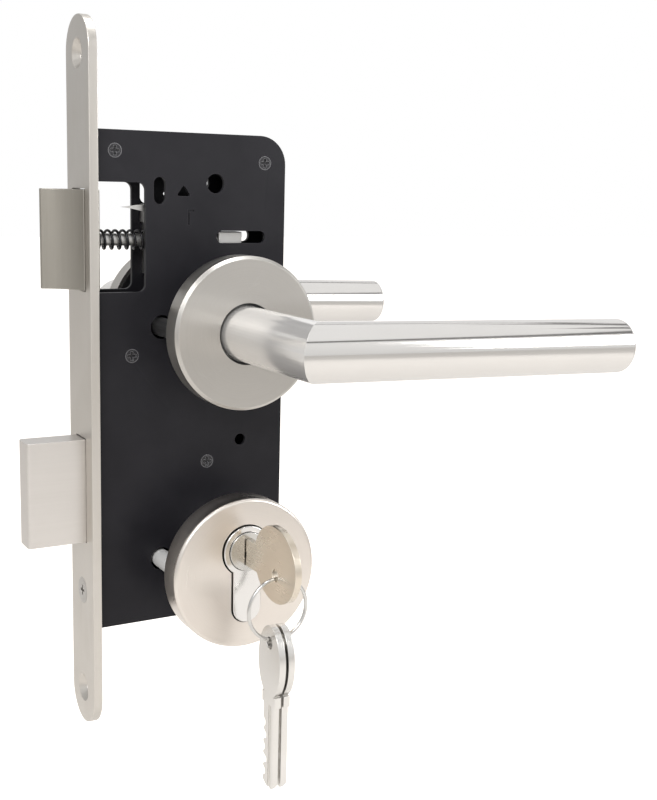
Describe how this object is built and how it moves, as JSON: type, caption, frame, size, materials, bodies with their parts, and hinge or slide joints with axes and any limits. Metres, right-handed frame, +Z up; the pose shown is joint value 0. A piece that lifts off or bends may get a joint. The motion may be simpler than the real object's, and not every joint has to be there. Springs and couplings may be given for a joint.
{
  "type": "mortise lockset",
  "caption": "Mortise lockset: black case with forend, sprung latch, thrown deadbolt, lever handles on round roses, profile cylinder, and keys on a ring.",
  "frame": {"origin": "middle of the forend's front face", "axes": "+X into the door's edge, away from the forend; +Z up along the forend; -Y towards the side with the key"},
  "size_m": [0.1817, 0.174, 0.2441],
  "materials": {
    "forend": "satin nickel plate, brushed along its length",
    "case": "semi-gloss black lacquer on sheet steel",
    "steel": "plain zinc-plated steel",
    "black_screw": "blackened steel",
    "latch": "sintered steel, nickel plated, warm grey",
    "spring": "dark spring steel",
    "lever": "satin brushed stainless steel",
    "rose": "satin brushed stainless steel",
    "base": "plain die-cast zinc",
    "post": "dark plated steel",
    "bright": "bright nickel plated steel",
    "bolt": "satin nickel plated steel",
    "cylinder": "bright nickel plated brass",
    "key": "nickel silver, lightly worn",
    "ring": "bright spring steel wire"
  },
  "bodies": {
    "case": {"forend": "forend", "case_body": "case", "case_cover": "case", "case_pillars": "steel", "case_screws": "black_screw", "latch_guide": "steel", "latch_keeper": "spring", "lever_springs": "spring", "lever_rose_front": "rose", "lever_rose_back": "rose", "lever_base_front": "base", "lever_base_back": "base", "lever_rose_posts": "post", "lever_rose_bolts": "steel", "cylinder_rose_front": "rose", "cylinder_rose_back": "rose", "cylinder_base_front": "base", "cylinder_base_back": "base", "cylinder_rose_posts": "bright", "cylinder_rose_bolts": "steel", "bolt_spring": "spring", "cylinder_body": "cylinder", "plug_back": "cylinder", "cylinder_screw": "steel"},
    "lever": {"lever_front": "lever", "lever_back": "lever", "spindle": "steel", "follower": "steel", "lever_set_screws": "black_screw", "lever_circlips": "spring"},
    "latch": {"latch_head": "latch", "latch_rod": "steel", "latch_tail": "steel", "latch_spring": "spring"},
    "plug": {"plug_front": "cylinder", "cam": "steel"},
    "bolt": {"deadbolt": "bolt", "bolt_tail": "steel", "bolt_pins": "steel"},
    "key": {"key": "key"},
    "ring": {"key_ring": "ring"},
    "spare_a": {"spare_key_a": "key"},
    "spare_b": {"spare_key_b": "key"}
  },
  "joints": [
    {"name": "lever_turn", "type": "hinge", "parent": "case", "child": "lever", "pos_m": [0.045, 0, 0.019], "axis": [0, 1, 0], "range_deg": [0, 40], "stiffness_Nm_per_rad": 1.2, "springref_deg": -34.38},
    {"name": "latch_slide", "type": "slide", "parent": "case", "child": "latch", "axis": [1, 0, 0], "range_m": [0, 0.0111], "deforming": ["latch_spring"]},
    {"name": "key_turn", "type": "hinge", "parent": "case", "child": "plug", "pos_m": [0.045, 0, -0.053], "axis": [0, 1, 0], "range_deg": [0, 160]},
    {"name": "deadbolt_slide", "type": "slide", "parent": "case", "child": "bolt", "axis": [1, 0, 0], "range_m": [0, 0.0196]},
    {"name": "key_withdraw", "type": "slide", "parent": "plug", "child": "key", "axis": [0, -1, 0], "range_m": [0, 0.034]},
    {"name": "ring_swing", "type": "hinge", "parent": "key", "child": "ring", "pos_m": [0.045, -0.0568, -0.0557], "axis": [1, 0, 0], "range_deg": [-30, 8]},
    {"name": "spare_a_swing", "type": "hinge", "parent": "ring", "child": "spare_a", "pos_m": [0.0434, -0.0568, -0.076], "axis": [1, 0, 0], "range_deg": [-15, 8]},
    {"name": "spare_b_swing", "type": "hinge", "parent": "ring", "child": "spare_b", "pos_m": [0.0466, -0.0568, -0.076], "axis": [1, 0, 0], "range_deg": [-15, 8]}
  ],
  "couplings": [
    {"joint": "latch_slide", "follows": "lever_turn", "m_per_rad": 0.015756},
    {"joint": "deadbolt_slide", "follows": "key_turn", "m_per_rad": 0.0069829}
  ]
}
